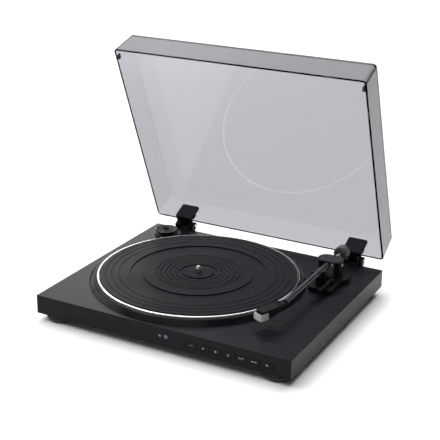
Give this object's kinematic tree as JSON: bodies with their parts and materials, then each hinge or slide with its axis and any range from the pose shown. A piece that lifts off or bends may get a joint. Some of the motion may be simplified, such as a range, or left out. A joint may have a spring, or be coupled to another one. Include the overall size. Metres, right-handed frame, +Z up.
{
  "type": "turntable record player",
  "caption": "Low black belt-drive turntable with round feet, ribbed mat, straight tonearm and an open smoke-tinted hinged dust cover.",
  "frame": {"origin": "on the floor under the middle of the whole object's box, with the cover open at its stop", "axes": "+X along the plinth's width, to the right seen from the front; +Y to the rear, where the cover is hinged; +Z up"},
  "size_m": [0.4, 0.3745, 0.3708],
  "materials": {
    "plinth_black": "satin black moulded plinth, fine sparkle-free grain",
    "cover_black": "matt black",
    "foot_rubber": "matt black rubber",
    "mat_rubber": "matt black ribbed rubber",
    "aluminium": "die-cast, polished rim",
    "steel": "bright turned steel",
    "brass": "turned brass",
    "arm_grey": "dark grey satin paint",
    "arm_black": "satin black",
    "gloss_black": "gloss black",
    "belt_rubber": "matt black",
    "board_green": "green circuit board",
    "socket_red": "red",
    "socket_white": "white",
    "lamp": "frosted grey lens",
    "guard_clear": "translucent clear",
    "smoked_acrylic": "smoke-tinted clear acrylic"
  },
  "bodies": {
    "plinth": {"plinth_shell": "plinth_black", "bottom_cover": "cover_black", "foot_front_left": "foot_rubber", "foot_front_right": "foot_rubber", "foot_rear_left": "foot_rubber", "foot_rear_right": "foot_rubber", "motor_body": "steel", "motor_bracket": "steel", "drive_belt": "belt_rubber", "bearing_sleeve": "brass", "main_board": "board_green", "button_board": "board_green", "rear_panel": "cover_black", "output_socket_left": "socket_white", "output_socket_right": "socket_red", "power_socket": "gloss_black", "tonearm_base": "arm_black", "arm_bearing": "brass", "lift_guide": "arm_black", "arm_rest": "arm_black", "hinge_base_left": "arm_black", "hinge_base_right": "arm_black", "hinge_pin_left": "steel", "hinge_pin_right": "steel", "lamp_lens": "lamp", "receiver_window": "lamp"},
    "platter": {"platter": "aluminium", "platter_mat": "mat_rubber", "spindle": "steel"},
    "pulley": {"motor_pulley": "brass"},
    "yoke": {"gimbal_yoke": "arm_black", "yaw_shaft": "steel", "return_arm": "steel"},
    "arm": {"pivot_block": "steel", "arm_tube": "arm_grey", "rear_stub": "steel", "headshell": "arm_black", "finger_lift": "arm_black", "cartridge": "arm_black", "stylus": "socket_white"},
    "force_dial": {"force_dial": "arm_black"},
    "counterweight": {"counterweight": "arm_grey"},
    "stylus_guard": {"stylus_guard": "guard_clear"},
    "lift_bar": {"lift_bar": "arm_black"},
    "cue_lever": {"cue_lever": "arm_black"},
    "single_adapter": {"single_adapter": "gloss_black"},
    "level_switch": {"level_switch": "socket_white"},
    "dust_cover": {"dust_cover": "smoked_acrylic", "hinge_clip_left": "arm_black", "hinge_clip_right": "arm_black", "bumper_left": "foot_rubber", "bumper_right": "foot_rubber"},
    "button_1": {"button_1": "plinth_black"},
    "button_2": {"button_2": "plinth_black"},
    "button_3": {"button_3": "plinth_black"},
    "button_4": {"button_4": "plinth_black"},
    "button_5": {"button_5": "plinth_black"},
    "button_6": {"button_6": "plinth_black"},
    "button_7": {"button_7": "plinth_black"}
  },
  "joints": [
    {"name": "platter_spin", "type": "hinge", "parent": "plinth", "child": "platter", "pos_m": [-0.0277, -0.02154, 0.039], "axis": [0, 0, -1], "continuous": true},
    {"name": "pulley_spin", "type": "hinge", "parent": "plinth", "child": "pulley", "pos_m": [-0.1006, -0.07259, 0.035], "axis": [0, 0, -1], "continuous": true},
    {"name": "arm_yaw", "type": "hinge", "parent": "plinth", "child": "yoke", "pos_m": [0.1415, 0.07646, 0.039], "axis": [0, 0, -1], "range_deg": [0, 38]},
    {"name": "arm_pitch", "type": "hinge", "parent": "yoke", "child": "arm", "pos_m": [0.1415, 0.07646, 0.0638], "axis": [-1, 0, 0], "range_deg": [0, 8]},
    {"name": "weight_turn", "type": "hinge", "parent": "force_dial", "child": "counterweight", "pos_m": [0.1415, 0.12146, 0.0638], "axis": [0, 1, 0], "range_deg": [-360, 360]},
    {"name": "weight_travel", "type": "slide", "parent": "arm", "child": "force_dial", "axis": [0, 1, 0], "range_m": [-0.0015, 0.0015]},
    {"name": "stylus_guard_pull", "type": "slide", "parent": "arm", "child": "stylus_guard", "axis": [-0.4067, -0.9135, 0], "range_m": [0, 0.012]},
    {"name": "cue_lever_turn", "type": "hinge", "parent": "plinth", "child": "cue_lever", "pos_m": [0.1563, 0.04446, 0.05], "axis": [-1, 0, 0], "range_deg": [0, 60]},
    {"name": "lift_bar_rise", "type": "slide", "parent": "plinth", "child": "lift_bar", "axis": [0, 0, 1], "range_m": [0, 0.0044]},
    {"name": "single_adapter_lift", "type": "slide", "parent": "plinth", "child": "single_adapter", "axis": [0, 0, 1], "range_m": [0, 0.025]},
    {"name": "level_switch_slide", "type": "slide", "parent": "plinth", "child": "level_switch", "axis": [1, 0, 0], "range_m": [0, 0.004]},
    {"name": "dust_cover_hinge", "type": "hinge", "parent": "plinth", "child": "dust_cover", "pos_m": [0, 0.15331, 0.044], "axis": [-1, 0, 0], "range_deg": [-68, 0]},
    {"name": "button_1_press", "type": "slide", "parent": "plinth", "child": "button_1", "axis": [0, 1, 0], "range_m": [0, 0.0012], "stiffness_N_per_m": 400, "springref_m": -0.0005},
    {"name": "button_2_press", "type": "slide", "parent": "plinth", "child": "button_2", "axis": [0, 1, 0], "range_m": [0, 0.0012], "stiffness_N_per_m": 400, "springref_m": -0.0005},
    {"name": "button_3_press", "type": "slide", "parent": "plinth", "child": "button_3", "axis": [0, 1, 0], "range_m": [0, 0.0012], "stiffness_N_per_m": 400, "springref_m": -0.0005},
    {"name": "button_4_press", "type": "slide", "parent": "plinth", "child": "button_4", "axis": [0, 1, 0], "range_m": [0, 0.0012], "stiffness_N_per_m": 400, "springref_m": -0.0005},
    {"name": "button_5_press", "type": "slide", "parent": "plinth", "child": "button_5", "axis": [0, 1, 0], "range_m": [0, 0.0012], "stiffness_N_per_m": 400, "springref_m": -0.0005},
    {"name": "button_6_press", "type": "slide", "parent": "plinth", "child": "button_6", "axis": [0, 1, 0], "range_m": [0, 0.0012], "stiffness_N_per_m": 400, "springref_m": -0.0005},
    {"name": "button_7_press", "type": "slide", "parent": "plinth", "child": "button_7", "axis": [0, 1, 0], "range_m": [0, 0.0012], "stiffness_N_per_m": 400, "springref_m": -0.0005}
  ],
  "couplings": [
    {"joint": "pulley_spin", "follows": "platter_spin", "ratio": 11.086},
    {"joint": "cue_lever_turn", "follows": "arm_pitch", "ratio": 7.5},
    {"joint": "lift_bar_rise", "follows": "arm_pitch", "m_per_rad": 0.0311},
    {"joint": "weight_turn", "follows": "weight_travel", "rad_per_m": 4188.8}
  ]
}
